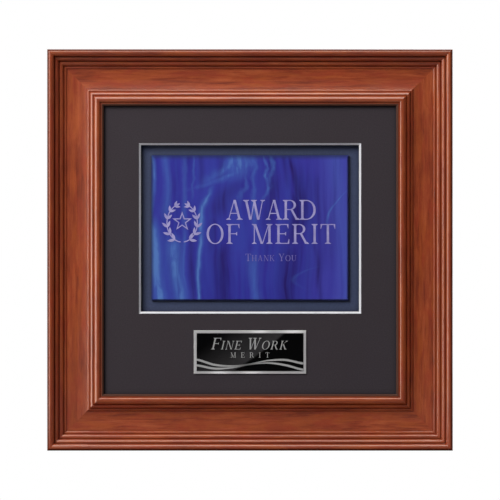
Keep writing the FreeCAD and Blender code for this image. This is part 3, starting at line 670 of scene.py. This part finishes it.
def silver_plate():
    """Bright rolled silver plate with painted highlights in soft patches along its border."""
    s = Shader("silver_plate_look")
    z = s.axis(s.place, "Z")
    brush = s.noise(s.mapped(s.place, (60.0, 2600.0, 5200.0)), rough=0.6)
    span = s.over(s.axis(s.place, "X"), PLATE_BACK[1].x)
    high = s.fade(z, PLATE[1].z - BORDER_SOFT, PLATE[1].z + BORDER_SOFT)
    low = s.fade(z, PLATE[0].z - BORDER_SOFT, PLATE[0].z + BORDER_SOFT, 1.0, 0.0)
    patches = ((high, 0.17, 0.15), (high, 0.76, 0.20), (low, -0.54, 0.16), (low, 0.03, 0.17))
    # Painted highlights: near-white patches on the border's upper and lower edges.
    painted_glints = 0.0
    for border, middle, half in patches:
        painted_glints = s.larger(painted_glints, s.times(s.bell(span, middle, half), border))
    colour = s.mix(s.fade(brush, 0.3, 0.7), (0.60, 0.59, 0.60), (0.72, 0.71, 0.72))
    colour = s.mix(painted_glints, colour, (1.0, 0.99, 1.0))
    brushed = s.bump(brush, 0.01 * MM, strength=0.5)
    metal = s.times(s.minus(1.0, painted_glints), 0.35)
    return s.finish(Base_Color=colour, Metallic=metal, Roughness=0.34, Normal=brushed)


def black_plate():
    """Black gloss plate with a painted reflection: a soft grey diagonal sheen."""
    s = Shader("black_plate_look")
    wide = PLATE[1].x - PLATE[0].x
    high = PLATE[1].z - PLATE[0].z
    across = s.over(s.minus(s.axis(s.place, "X"), PLATE[0].x), wide)
    down = s.over(s.minus(PLATE[1].z, s.axis(s.place, "Z")), high)
    bow = s.times(s.times(down, s.minus(1.0, down)), SHEEN_BOW)
    front = s.plus(s.minus(SHEEN_TOP, s.times(down, SHEEN_LEAN)), bow)
    behind = s.minus(front, across)
    # Painted reflection: a soft grey band behind the slanting front edge.
    painted_sheen = s.times(s.fade(behind, 0.0, 0.045), s.fade(behind, 0.05, 0.66, 1.0, 0.0))
    wisp = s.noise(s.mapped(s.place, (60.0, 60.0, 90.0), turn=(0.0, 0.7, 0.0)), rough=0.6)
    painted_sheen = s.times(painted_sheen, s.fade(wisp, 0.3, 0.7, 0.75, 1.1))
    dust = s.fade(s.noise(s.place, 5200.0, detail=1.0), 0.70, 0.76, 0.0, 0.12)
    colour = s.mix(painted_sheen, (0.0012, 0.0012, 0.0014), (0.040, 0.038, 0.040))
    colour = s.mix(dust, colour, (0.10, 0.10, 0.10))
    peel = s.bump(s.noise(s.place, 420.0, detail=2.0), 0.02 * MM, strength=0.3)
    return s.finish(Base_Color=colour, Roughness=0.22, Normal=peel, Specular_IOR_Level=0.08)


def silver_ink(name, dimming):
    """Silver showing through the black finish: fine brushing, dimmed near the nameplate's middle."""
    s = Shader(name)
    brush = s.noise(s.mapped(s.place, (300.0, 2600.0, 5200.0)), rough=0.6)
    span = s.over(s.axis(s.place, "X"), PLATE[1].x)
    dim = s.times(s.bell(span, -0.06, 0.22), dimming)
    colour = s.mix(s.fade(brush, 0.3, 0.7), (0.425, 0.425, 0.425), (0.50, 0.50, 0.50))
    colour = s.mix(dim, colour, (0.07, 0.07, 0.07))
    brushed = s.bump(brush, 0.01 * MM, strength=0.4)
    return s.finish(Base_Color=colour, Metallic=0.2, Roughness=0.4, Normal=brushed)


# The rails: name, the axis the grain runs along, which side of the other axis the outer edge is on, and seed.
RAILS = (
    ("frame_rail_top", 0, 1, 3.1),
    ("frame_rail_bottom", 0, -1, 11.7),
    ("frame_rail_left", 2, -1, 23.9),
    ("frame_rail_right", 2, 1, 37.3),
)


def dress_nodes():
    """Gives each CAD node its material."""
    looks = {
        "mat_paper": mat_paper(),
        "mat_core_board": core_board(),
        "mount_paper": mount_paper(),
        "foam_board": foam_board(),
        "foam_tape": foam_tape(),
        "art_glass": art_glass(),
        "silver_plate": silver_plate(),
        "black_plate": black_plate(),
        "hardboard": hardboard(),
        "zinc_steel": steel(
            "zinc_steel_look",
            light=(0.62, 0.63, 0.65),
            dark=(0.48, 0.49, 0.51),
            brush=(900.0, 900.0, 900.0),
            rough=0.28,
            patina=(0.46, 0.46, 0.42),
        ),
        "nickel_steel": steel(
            "nickel_steel_look",
            light=(0.68, 0.65, 0.59),
            dark=(0.58, 0.55, 0.50),
            brush=(4200.0, 4200.0, 500.0),
            rough=0.2,
            patina=(0.52, 0.47, 0.38),
        ),
        "bumper_rubber": rubber(),
    }
    rails = {name: wood(name, along, outward, seed) for name, along, outward, seed in RAILS}
    for name, node in NODES.items():
        for holder in node.material_slots:
            holder.material = rails.get(name) or looks[holder.material.name]


# -------- lettering


# The strokes and serifs of the lettering, in shares of the cap height.
THICK = 0.120
THIN = 0.046
SERIF = 0.095
SERIF_RISE = 0.038
BRACKET = 0.050
WEDGE = 0.09
WEDGE_TIP = 0.02


def band(points, widths):
    """Quads along a line of points, with a width at each."""
    rims = []
    for i, (x, y) in enumerate(points):
        x0, y0 = points[max(i - 1, 0)]
        x1, y1 = points[min(i + 1, len(points) - 1)]
        run = math.hypot(x1 - x0, y1 - y0)
        side = (-(y1 - y0) / run * widths[i] / 2, (x1 - x0) / run * widths[i] / 2)
        rims.append(((x + side[0], y + side[1]), (x - side[0], y - side[1])))
    return [[a[1], b[1], b[0], a[0]] for a, b in zip(rims, rims[1:])]


def bowl(x, y, wide, high, start, end, steps=28):
    """A piece of an oval ring, heavy at its sides and light at its top and bottom. Angles are in turns."""
    ring = []
    for i in range(steps + 1):
        angle = 2 * math.pi * (start + (end - start) * i / steps)
        outer = (x + wide / 2 * math.cos(angle), y + high / 2 * math.sin(angle))
        inner = (x + (wide / 2 - THICK) * math.cos(angle), y + (high / 2 - THIN) * math.sin(angle))
        ring.append((outer, inner))
    return [[a[0], b[0], b[1], a[1]] for a, b in zip(ring, ring[1:])]


def slash(x0, y0, x1, y1, wide):
    """A slanting stroke with level ends."""
    return [[(x0 - wide / 2, y0), (x0 + wide / 2, y0), (x1 + wide / 2, y1), (x1 - wide / 2, y1)]]


def foot(x, wide, left=SERIF, right=SERIF):
    """A bracketed serif on the base line under a stroke at x."""
    a, b = x - wide / 2, x + wide / 2
    flare = [(a - left, 0.0), (b + right, 0.0), (b + right, 0.6 * SERIF_RISE), (b, SERIF_RISE + BRACKET)]
    return [flare + [(a, SERIF_RISE + BRACKET), (a - left, 0.6 * SERIF_RISE)]]


def upturned(shapes):
    """The same shapes hung from the cap line."""
    return [[(x, 1.0 - y) for x, y in reversed(shape)] for shape in shapes]


def stem(x, wide, low_serif=True, high_serif=True):
    shapes = slash(x, 0.0, x, 1.0, wide)
    if low_serif:
        shapes += foot(x, wide)
    if high_serif:
        shapes += upturned(foot(x, wide))
    return shapes


def level(x0, x1, y):
    """A thin level bar that stands on y."""
    return [[(x0, y), (x1, y), (x1, y + THIN), (x0, y + THIN)]]


def arm(x0, x1, y, drop):
    """A thin level arm that ends in a wedge; drop is how far the wedge reaches up (+) or down (-)."""
    wedge = [(x1 - WEDGE, y), (x1, y), (x1, y + drop), (x1 - WEDGE_TIP, y + drop)]
    return level(x0, x1, y - THIN / 2) + [wedge if drop > 0 else wedge[::-1]]


# Each Roman capital is drawn one unit high from x = 0, and gives its width and its shapes. A heavy stem that
# comes first stands at FIRST, a light one at FIRST_THIN. LOW and HIGH are the middles of the end arms.
FIRST = SERIF + THICK / 2
FIRST_THIN = SERIF + THIN / 2
LOW = THIN / 2
HIGH = 1.0 - THIN / 2
THICK_TO_THIN = (THICK - THIN) / 2


def capital_a():
    shapes = slash(0.14, 0.0, 0.42, 1.0, THIN) + slash(0.70, 0.0, 0.44, 1.0, THICK)
    shapes += [[(0.22, 0.30), (0.62, 0.30), (0.60, 0.30 + THIN), (0.24, 0.30 + THIN)]]
    return 0.88, shapes + foot(0.14, THIN) + foot(0.70, THICK)


def capital_d():
    shapes = stem(FIRST, THICK) + bowl(0.36, 0.5, 0.94, 1.0, -0.25, 0.25)
    return 0.84, shapes + level(FIRST, 0.36, 0.0) + level(FIRST, 0.36, 1.0 - THIN)


def capital_e():
    return 0.70, capital_f()[1] + arm(FIRST, 0.70, LOW, 0.22)


def capital_f():
    shapes = stem(FIRST, THICK) + arm(FIRST, 0.66, HIGH, -0.20)
    return 0.66, shapes + arm(FIRST, 0.54, 0.51, 0.09) + arm(FIRST, 0.54, 0.51, -0.09)


def capital_h():
    wide = 0.86
    right = wide - FIRST
    return wide, stem(FIRST, THICK) + stem(right, THICK) + level(FIRST, right, 0.48)


def capital_i():
    return 2 * FIRST, stem(FIRST, THICK)


def capital_k():
    shapes = stem(FIRST, THICK) + slash(0.66, 1.0, FIRST + 0.02, 0.40, THIN)
    shapes += slash(0.36, 0.60, 0.70, 0.0, THICK)
    return 0.86, shapes + foot(0.70, THICK, left=0.04, right=0.07) + upturned(foot(0.66, THIN))


def capital_m():
    wide = 1.04
    right = wide - FIRST
    middle = (FIRST_THIN + right) / 2
    shapes = stem(FIRST_THIN, THIN, high_serif=False) + stem(right, THICK)
    shapes += slash(FIRST_THIN + THICK_TO_THIN, 1.0, middle, 0.0, THICK)
    shapes += slash(right - THICK_TO_THIN, 1.0, middle + 0.03, 0.0, THIN)
    return wide, shapes + upturned(foot(FIRST_THIN, THIN, right=0.0))


def capital_n():
    wide = 0.86
    right = wide - FIRST_THIN
    shapes = stem(FIRST_THIN, THIN, high_serif=False) + stem(right, THIN, low_serif=False)
    shapes += slash(FIRST_THIN + THICK_TO_THIN, 1.0, right - THICK_TO_THIN, 0.0, THICK)
    return wide, shapes + upturned(foot(FIRST_THIN, THIN, right=0.0))


def capital_o():
    return 0.86, bowl(0.43, 0.5, 0.86, 1.03, 0.0, 1.0, steps=56)


def capital_r():
    shapes = stem(FIRST, THICK) + bowl(0.36, 0.745, 0.62, 0.51, -0.25, 0.25)
    shapes += level(FIRST, 0.36, 0.49) + level(FIRST, 0.36, 1.0 - THIN)
    return 0.84, shapes + slash(0.45, 0.51, 0.72, 0.0, THICK) + foot(0.72, THICK, left=0.02, right=0.07)


def capital_t():
    wide = 0.74
    right_arm = arm(wide / 2, wide, HIGH, -0.22)
    left_arm = [[(wide - x, y) for x, y in reversed(shape)] for shape in right_arm]
    return wide, stem(wide / 2, THICK, high_serif=False) + right_arm + left_arm


def capital_u():
    wide = 0.84
    left, right = FIRST, wide - FIRST_THIN
    turn_high = 0.34
    sweep = []
    widths = []
    for i in range(21):
        angle = math.pi * i / 20
        x = left + (right - left) * (1 - math.cos(angle)) / 2
        sweep.append((x, turn_high * (1 - math.sin(angle)) + LOW))
        widths.append(THICK + (THIN - THICK) * min(1.0, i / 8))
    shapes = slash(left, turn_high, left, 1.0, THICK) + slash(right, turn_high, right, 1.0, THIN)
    return wide, shapes + band(sweep, widths) + upturned(foot(left, THICK) + foot(right, THIN))


def capital_w():
    shapes = slash(0.14, 1.0, 0.36, 0.0, THICK) + slash(0.56, 1.0, 0.39, 0.0, THIN)
    shapes += slash(0.54, 1.0, 0.76, 0.0, THICK) + slash(0.98, 1.0, 0.79, 0.0, THIN)
    return 1.12, shapes + upturned(foot(0.14, THICK) + foot(0.98, THIN) + foot(0.54, THICK))


def capital_y():
    shapes = slash(0.16, 1.0, 0.43, 0.42, THICK) + slash(0.70, 1.0, 0.47, 0.42, THIN)
    shapes += slash(0.43, 0.0, 0.43, 0.46, THICK) + foot(0.43, THICK)
    return 0.84, shapes + upturned(foot(0.16, THICK) + foot(0.70, THIN))


CAPITALS = {
    " ": (0.34, []),
    "A": capital_a(),
    "D": capital_d(),
    "E": capital_e(),
    "F": capital_f(),
    "H": capital_h(),
    "I": capital_i(),
    "K": capital_k(),
    "M": capital_m(),
    "N": capital_n(),
    "O": capital_o(),
    "R": capital_r(),
    "T": capital_t(),
    "U": capital_u(),
    "W": capital_w(),
    "Y": capital_y(),
}


def words(text, wide, cap, small=1.0, slant=0.0):
    """Shapes of a line of capitals, centred on x = 0 and standing on y = 0, spaced out to the wanted width.

    Letters after the first of each word are drawn at the share small of the cap height.
    """
    sizes = [cap if i == 0 or text[i - 1] == " " else cap * small for i in range(len(text))]
    natural = sum(CAPITALS[letter][0] * size for letter, size in zip(text, sizes))
    gap = (wide - natural) / (len(text) - 1)
    pen = -wide / 2
    shapes = []
    for letter, size in zip(text, sizes):
        advance, parts = CAPITALS[letter]
        for part in parts:
            shapes.append([(pen + x * size + slant * (y - 0.5) * size, y * size) for x, y in part])
        pen += advance * size + gap
    return shapes


# -------- thin raised artwork


# Corners of the artwork this close, in metres, are one, and faces this little apart, in radians, are merged.
SAME_POINT = 1e-7
FLAT_ANGLE = 0.001


def anticlockwise(shape):
    doubled = sum(a[0] * b[1] - b[0] * a[1] for a, b in zip(shape, shape[1:] + shape[:1]))
    return shape if doubled > 0 else shape[::-1]


def raised(name, shapes, x, z, base, rise, material):
    """A thin piece with the union of the flat shapes as its front, standing out from base towards -Y."""
    points = []
    faces = []
    for shape in shapes:
        first = len(points)
        points += [Vector(point) for point in anticlockwise(shape)]
        faces.append(list(range(first, len(points))))
    # Output kind 0 fills the whole outline round the shapes; a triangle that lies in no shape has no source.
    flat, _, triangles, _, _, sources = delaunay_2d_cdt(points, [], faces, 0, SAME_POINT)
    triangles = [triangle for triangle, source in zip(triangles, sources) if source]
    mesh = bpy.data.meshes.new(name)
    made = bmesh.new()
    corners = [made.verts.new((x + p.x, base, z + p.y)) for p in flat]
    for triangle in triangles:
        made.faces.new([corners[i] for i in triangle])
    bmesh.ops.dissolve_limit(made, angle_limit=FLAT_ANGLE, verts=made.verts, edges=made.edges)
    bmesh.ops.delete(made, geom=[v for v in made.verts if not v.link_faces], context="VERTS")
    grown = bmesh.ops.extrude_face_region(made, geom=list(made.faces))
    lifted = [item for item in grown["geom"] if isinstance(item, bmesh.types.BMVert)]
    bmesh.ops.translate(made, vec=(0.0, -rise, 0.0), verts=lifted)
    bmesh.ops.recalc_face_normals(made, faces=list(made.faces))
    made.to_mesh(mesh)
    made.free()
    mesh.materials.append(material)
    piece = bpy.data.objects.new(name, mesh)
    bpy.context.scene.collection.objects.link(piece)
    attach(piece, "frame")


def leaf(x, y, angle, long, wide):
    """A pointed leaf from its stalk end at (x, y)."""
    steps = 8
    edge = [(long * i / steps, wide / 2 * math.sin(math.pi * (i / steps) ** 0.85)) for i in range(steps + 1)]
    outline = edge + [(a, -b) for a, b in reversed(edge[1:-1])]
    turn = (math.cos(angle), math.sin(angle))
    return [(x + a * turn[0] - b * turn[1], y + a * turn[1] + b * turn[0]) for a, b in outline]


# The wreath's branches: where each starts and ends, in degrees round the emblem from its side, and how far a
# leaf turns away from its branch, in radians.
BRANCH_START = -84
BRANCH_END = 62
LEAF_PAIRS = 6
LEAF_SPREAD = 0.62


def emblem(wide, high, line):
    """A laurel wreath round a star, centred on (0, 0)."""
    reach = wide / 2 * 0.80
    stalk_steps = 24

    def on_branch(share):
        """(angle, x, y) at a share of the way along the right-hand branch."""
        angle = math.radians(BRANCH_START + (BRANCH_END - BRANCH_START) * share)
        return angle, reach * math.cos(angle), 0.44 * high * math.sin(angle) - 0.02 * high

    stalk = [on_branch(i / stalk_steps)[1:] for i in range(stalk_steps + 1)]
    leaves = []
    for i in range(LEAF_PAIRS):
        share = (i + 0.9) / LEAF_PAIRS
        angle, x, y = on_branch(share)
        size = 0.19 * high * (1.0 - 0.25 * share)
        for spread in (-LEAF_SPREAD, LEAF_SPREAD):
            leaves.append(leaf(x, y, angle + math.pi / 2 + spread, size, 0.36 * size))
    angle, x, y = on_branch(1.0)
    leaves.append(leaf(x, y, angle + math.pi / 2, 0.13 * high, 0.05 * high))
    shapes = []
    for side in (-1, 1):
        shapes += band([(side * x, y) for x, y in stalk], [0.55 * line] * len(stalk))
        shapes += [[(side * x, y) for x, y in shape] for shape in leaves]
    return shapes + star(0.01 * high, 0.235 * high, 0.65 * line)


def star(y, reach, line):
    """The outline of a five-pointed star round (0, y), drawn line wide, with its tips at the reach."""
    rim = []
    for i in range(10):
        angle = math.pi / 2 + math.pi * i / 5
        size = reach if i % 2 == 0 else reach * 0.40
        rim.append((size * math.cos(angle), size * math.sin(angle)))
    inner = 1.0 - line / (reach * 0.36)
    shapes = []
    for a, b in zip(rim, rim[1:] + rim[:1]):
        side = [a, b, (b[0] * inner, b[1] * inner), (a[0] * inner, a[1] * inner)]
        shapes.append([(px, y + py) for px, py in side])
    return shapes


def swoosh(heights, widths):
    """A silver line that runs from one side of the nameplate to the other through evenly spaced heights."""
    wide = PLATE[1].x - PLATE[0].x
    high = PLATE[1].z - PLATE[0].z
    steps = 60
    points = []
    sizes = []
    for i in range(steps + 1):
        t = i / steps * (len(heights) - 1)
        points.append((wide * (i / steps - 0.5), high * (0.5 - smooth_between(heights, t))))
        sizes.append(smooth_between(widths, t))
    return band(points, sizes)


def smooth_between(values, t):
    """A Catmull-Rom curve through the values."""
    i = min(int(t), len(values) - 2)
    f = t - i
    p = [values[max(i - 1, 0)], values[i], values[i + 1], values[min(i + 2, len(values) - 1)]]
    return 0.5 * (
        2 * p[1]
        + (p[2] - p[0]) * f
        + (2 * p[0] - 5 * p[1] + 4 * p[2] - p[3]) * f * f
        + (3 * p[1] - p[0] - 3 * p[2] + p[3]) * f * f * f
    )


def glass_artwork():
    """The pale emblem and lettering on the front of the glass."""
    front = GLASS[0].y
    rise = 0.15 * MM
    bright = etched("etched_look", (0.52, 0.47, 0.82), (0.37, 0.33, 0.68), 0.94)
    faint = etched("faint_etched_look", (0.34, 0.28, 0.66), (0.25, 0.20, 0.55), 0.62)
    x = GLASS_MIDDLE.x - 61.4 * MM
    z = GLASS_MIDDLE.z + 5.2 * MM
    shapes = emblem(wide=34.4 * MM, high=39.4 * MM, line=1.6 * MM)
    raised("glass_emblem", shapes, x, z, front, rise, bright)
    x = GLASS_MIDDLE.x + 18.9 * MM
    # Name, text, width, cap height, share of the smaller capitals, height above the glass's middle, look.
    for name, text, wide, cap, small, lift, look in (
        ("glass_upper_line", "AWARD", 81.5 * MM, 17.9 * MM, 1.0, 7.3 * MM, bright),
        ("glass_lower_line", "OF MERIT", 116.4 * MM, 17.9 * MM, 1.0, -14.5 * MM, bright),
        ("glass_small_line", "THANK YOU", 46.0 * MM, 6.6 * MM, 0.8, -30.1 * MM, faint),
    ):
        shapes = words(text, wide, cap, small)
        raised(name, shapes, x, GLASS_MIDDLE.z + lift, front, rise, look)


def nameplate_artwork():
    """The silver lettering and the two lines that sweep across the foot of the nameplate."""
    front = PLATE[0].y
    rise = 0.04 * MM
    x, z = (PLATE[0].x + PLATE[1].x) / 2, (PLATE[0].z + PLATE[1].z) / 2
    ink = silver_ink("silver_letter_look", 0.0)
    line = silver_ink("silver_line_look", 0.8)
    shapes = words("FINE WORK", wide=68.0 * MM, cap=10.5 * MM, small=0.74, slant=0.24)
    raised("nameplate_main_line", shapes, x, z + 2.4 * MM, front, rise, ink)
    shapes = words("MERIT", wide=35.0 * MM, cap=4.6 * MM)
    raised("nameplate_small_line", shapes, x, z - 4.9 * MM, front, rise, ink)
    wide, mean, fine = 1.9 * MM, 1.3 * MM, 0.8 * MM
    widths = (wide, wide, mean, fine, mean, wide, wide)
    upper = swoosh((0.70, 0.835, 0.867, 0.81, 0.725, 0.707, 0.80), widths)
    lower = swoosh((0.85, 0.935, 0.91, 0.83, 0.787, 0.845, 0.966), widths)
    raised("nameplate_sweeps", upper + lower, x, z, front, rise, line)


# -------- studio


# The floor is lost in white from FLOOR_CLEAR to FLOOR_LOST metres off, and to a camera that looks along it.
# It and the world look white to the camera, but throw only a little light on the plaque.
FLOOR_REACH = 30.0
FLOOR_CLEAR = 0.25
FLOOR_LOST = 0.95
WORLD_LIGHT = 0.08
STRIP_WARMTH = (1.0, 0.94, 0.84)


def floor():
    """A pale floor that shows the plaque's soft shadow near its foot."""
    mesh = bpy.data.meshes.new("floor")
    r = FLOOR_REACH
    mesh.from_pydata([(-r, -r, 0.0), (r, -r, 0.0), (r, r, 0.0), (-r, r, 0.0)], [], [(0, 1, 2, 3)])
    made = bpy.data.objects.new("floor", mesh)
    made.location = (MIDDLE.x, MIDDLE.y, CAD_BOX[0].z)
    bpy.context.scene.collection.objects.link(made)
    s = Shader("floor_look")
    grain = s.noise(s.place, 60.0)
    seen = s.node("ShaderNodeLightPath").outputs["Is Camera Ray"]
    colour = s.mix(seen, (0.25, 0.25, 0.25), s.mix(grain, (0.86, 0.86, 0.86), (0.90, 0.90, 0.90)))
    s.finish(Base_Color=colour, Roughness=0.7, Specular_IOR_Level=0.1)
    away = s.node("ShaderNodeVectorMath", {0: s.place}, operation="LENGTH").outputs["Value"]
    far = s.fade(away, FLOOR_CLEAR, FLOOR_LOST)
    low_view = s.math("ABSOLUTE", s.axis(s.node("ShaderNodeNewGeometry").outputs["Incoming"], "Z"))
    grazing = s.fade(low_view, 0.08, 0.20, 1.0, 0.0)
    lost = s.times(s.larger(far, grazing), seen)
    white = s.node("ShaderNodeEmission", {"Color": (1.0, 1.0, 1.0), "Strength": 1.0}).outputs[0]
    blend = s.node("ShaderNodeMixShader", {0: lost, 1: s.surface.outputs[0], 2: white})
    s.feed(s.tree.nodes["Material Output"].inputs["Surface"], blend.outputs[0])
    mesh.materials.append(s.material)


def area_light(name, way, away, wide, high, power, colour=(1.0, 1.0, 1.0)):
    """A rectangular light away metres off the plaque's middle in the direction of way, facing it."""
    data = bpy.data.lights.new(name, "AREA")
    data.shape = "RECTANGLE"
    data.size = wide
    data.size_y = high
    data.energy = power
    data.color = colour
    made = bpy.data.objects.new(name, data)
    made.location = MIDDLE + way.normalized() * away
    made.rotation_mode = "QUATERNION"
    made.rotation_quaternion = way.to_track_quat("Z", "Y")
    made.visible_camera = False
    bpy.context.scene.collection.objects.link(made)
    return made


def lights():
    """A soft key from the upper left, two warm strips that only gloss shows, and two lights from behind."""
    area_light("key", Vector((-0.74, -1.0, 0.90)), away=2.6, wide=1.3, high=1.3, power=60.0)
    for name, way, wide, high in (
        ("left_strip", Vector((-1.0, -0.46, 0.0)), 0.27, 0.90),
        ("top_strip", Vector((0.0, -0.46, 1.0)), 0.90, 0.27),
    ):
        strip = area_light(name, way, 0.50, wide, high, power=3.7, colour=STRIP_WARMTH)
        strip.visible_diffuse = False
    area_light("back_key", Vector((0.6, 1.0, 0.8)), away=1.7, wide=1.2, high=1.2, power=20.0)
    area_light("flank", Vector((1.0, 0.9, 0.2)), away=1.7, wide=0.9, high=0.9, power=10.0)


def world():
    """A white background that is dim to all but the camera."""
    made = bpy.data.worlds.new("studio")
    bpy.context.scene.world = made
    made.use_nodes = True
    tree = made.node_tree
    background = tree.nodes["Background"]
    background.inputs["Color"].default_value = (1.0, 1.0, 1.0, 1.0)
    path = tree.nodes.new("ShaderNodeLightPath")
    strength = tree.nodes.new("ShaderNodeMapRange")
    strength.inputs["To Min"].default_value = WORLD_LIGHT
    strength.inputs["To Max"].default_value = 1.0
    tree.links.new(path.outputs["Is Camera Ray"], strength.inputs["Value"])
    tree.links.new(strength.outputs["Result"], background.inputs["Strength"])


# The frame takes up FRAME_SHARE of the picture's width where it lies FRONT_DEEP behind the moulding's crest.
FRAME_SHARE = 0.811
FRONT_DEEP = 3.0 * MM
LENS = 300.0
SENSOR = 36.0


def camera():
    """A long lens, square on to the plaque, with the frame filling most of the picture's width."""
    data = bpy.data.cameras.new("camera")
    data.lens = LENS
    data.sensor_width = SENSOR
    data.clip_end = 100.0
    made = bpy.data.objects.new("camera", data)
    face = CAD_BOX[0].y + FRONT_DEEP
    away = WIDTH / FRAME_SHARE * LENS / SENSOR
    made.location = (MIDDLE.x, face - away, MIDDLE.z)
    made.rotation_euler = (math.pi / 2, 0.0, 0.0)
    bpy.context.scene.collection.objects.link(made)
    bpy.context.scene.camera = made


dress_nodes()
glass_artwork()
nameplate_artwork()
floor()
lights()
world()
camera()
bpy.context.scene.view_settings.view_transform = "Standard"
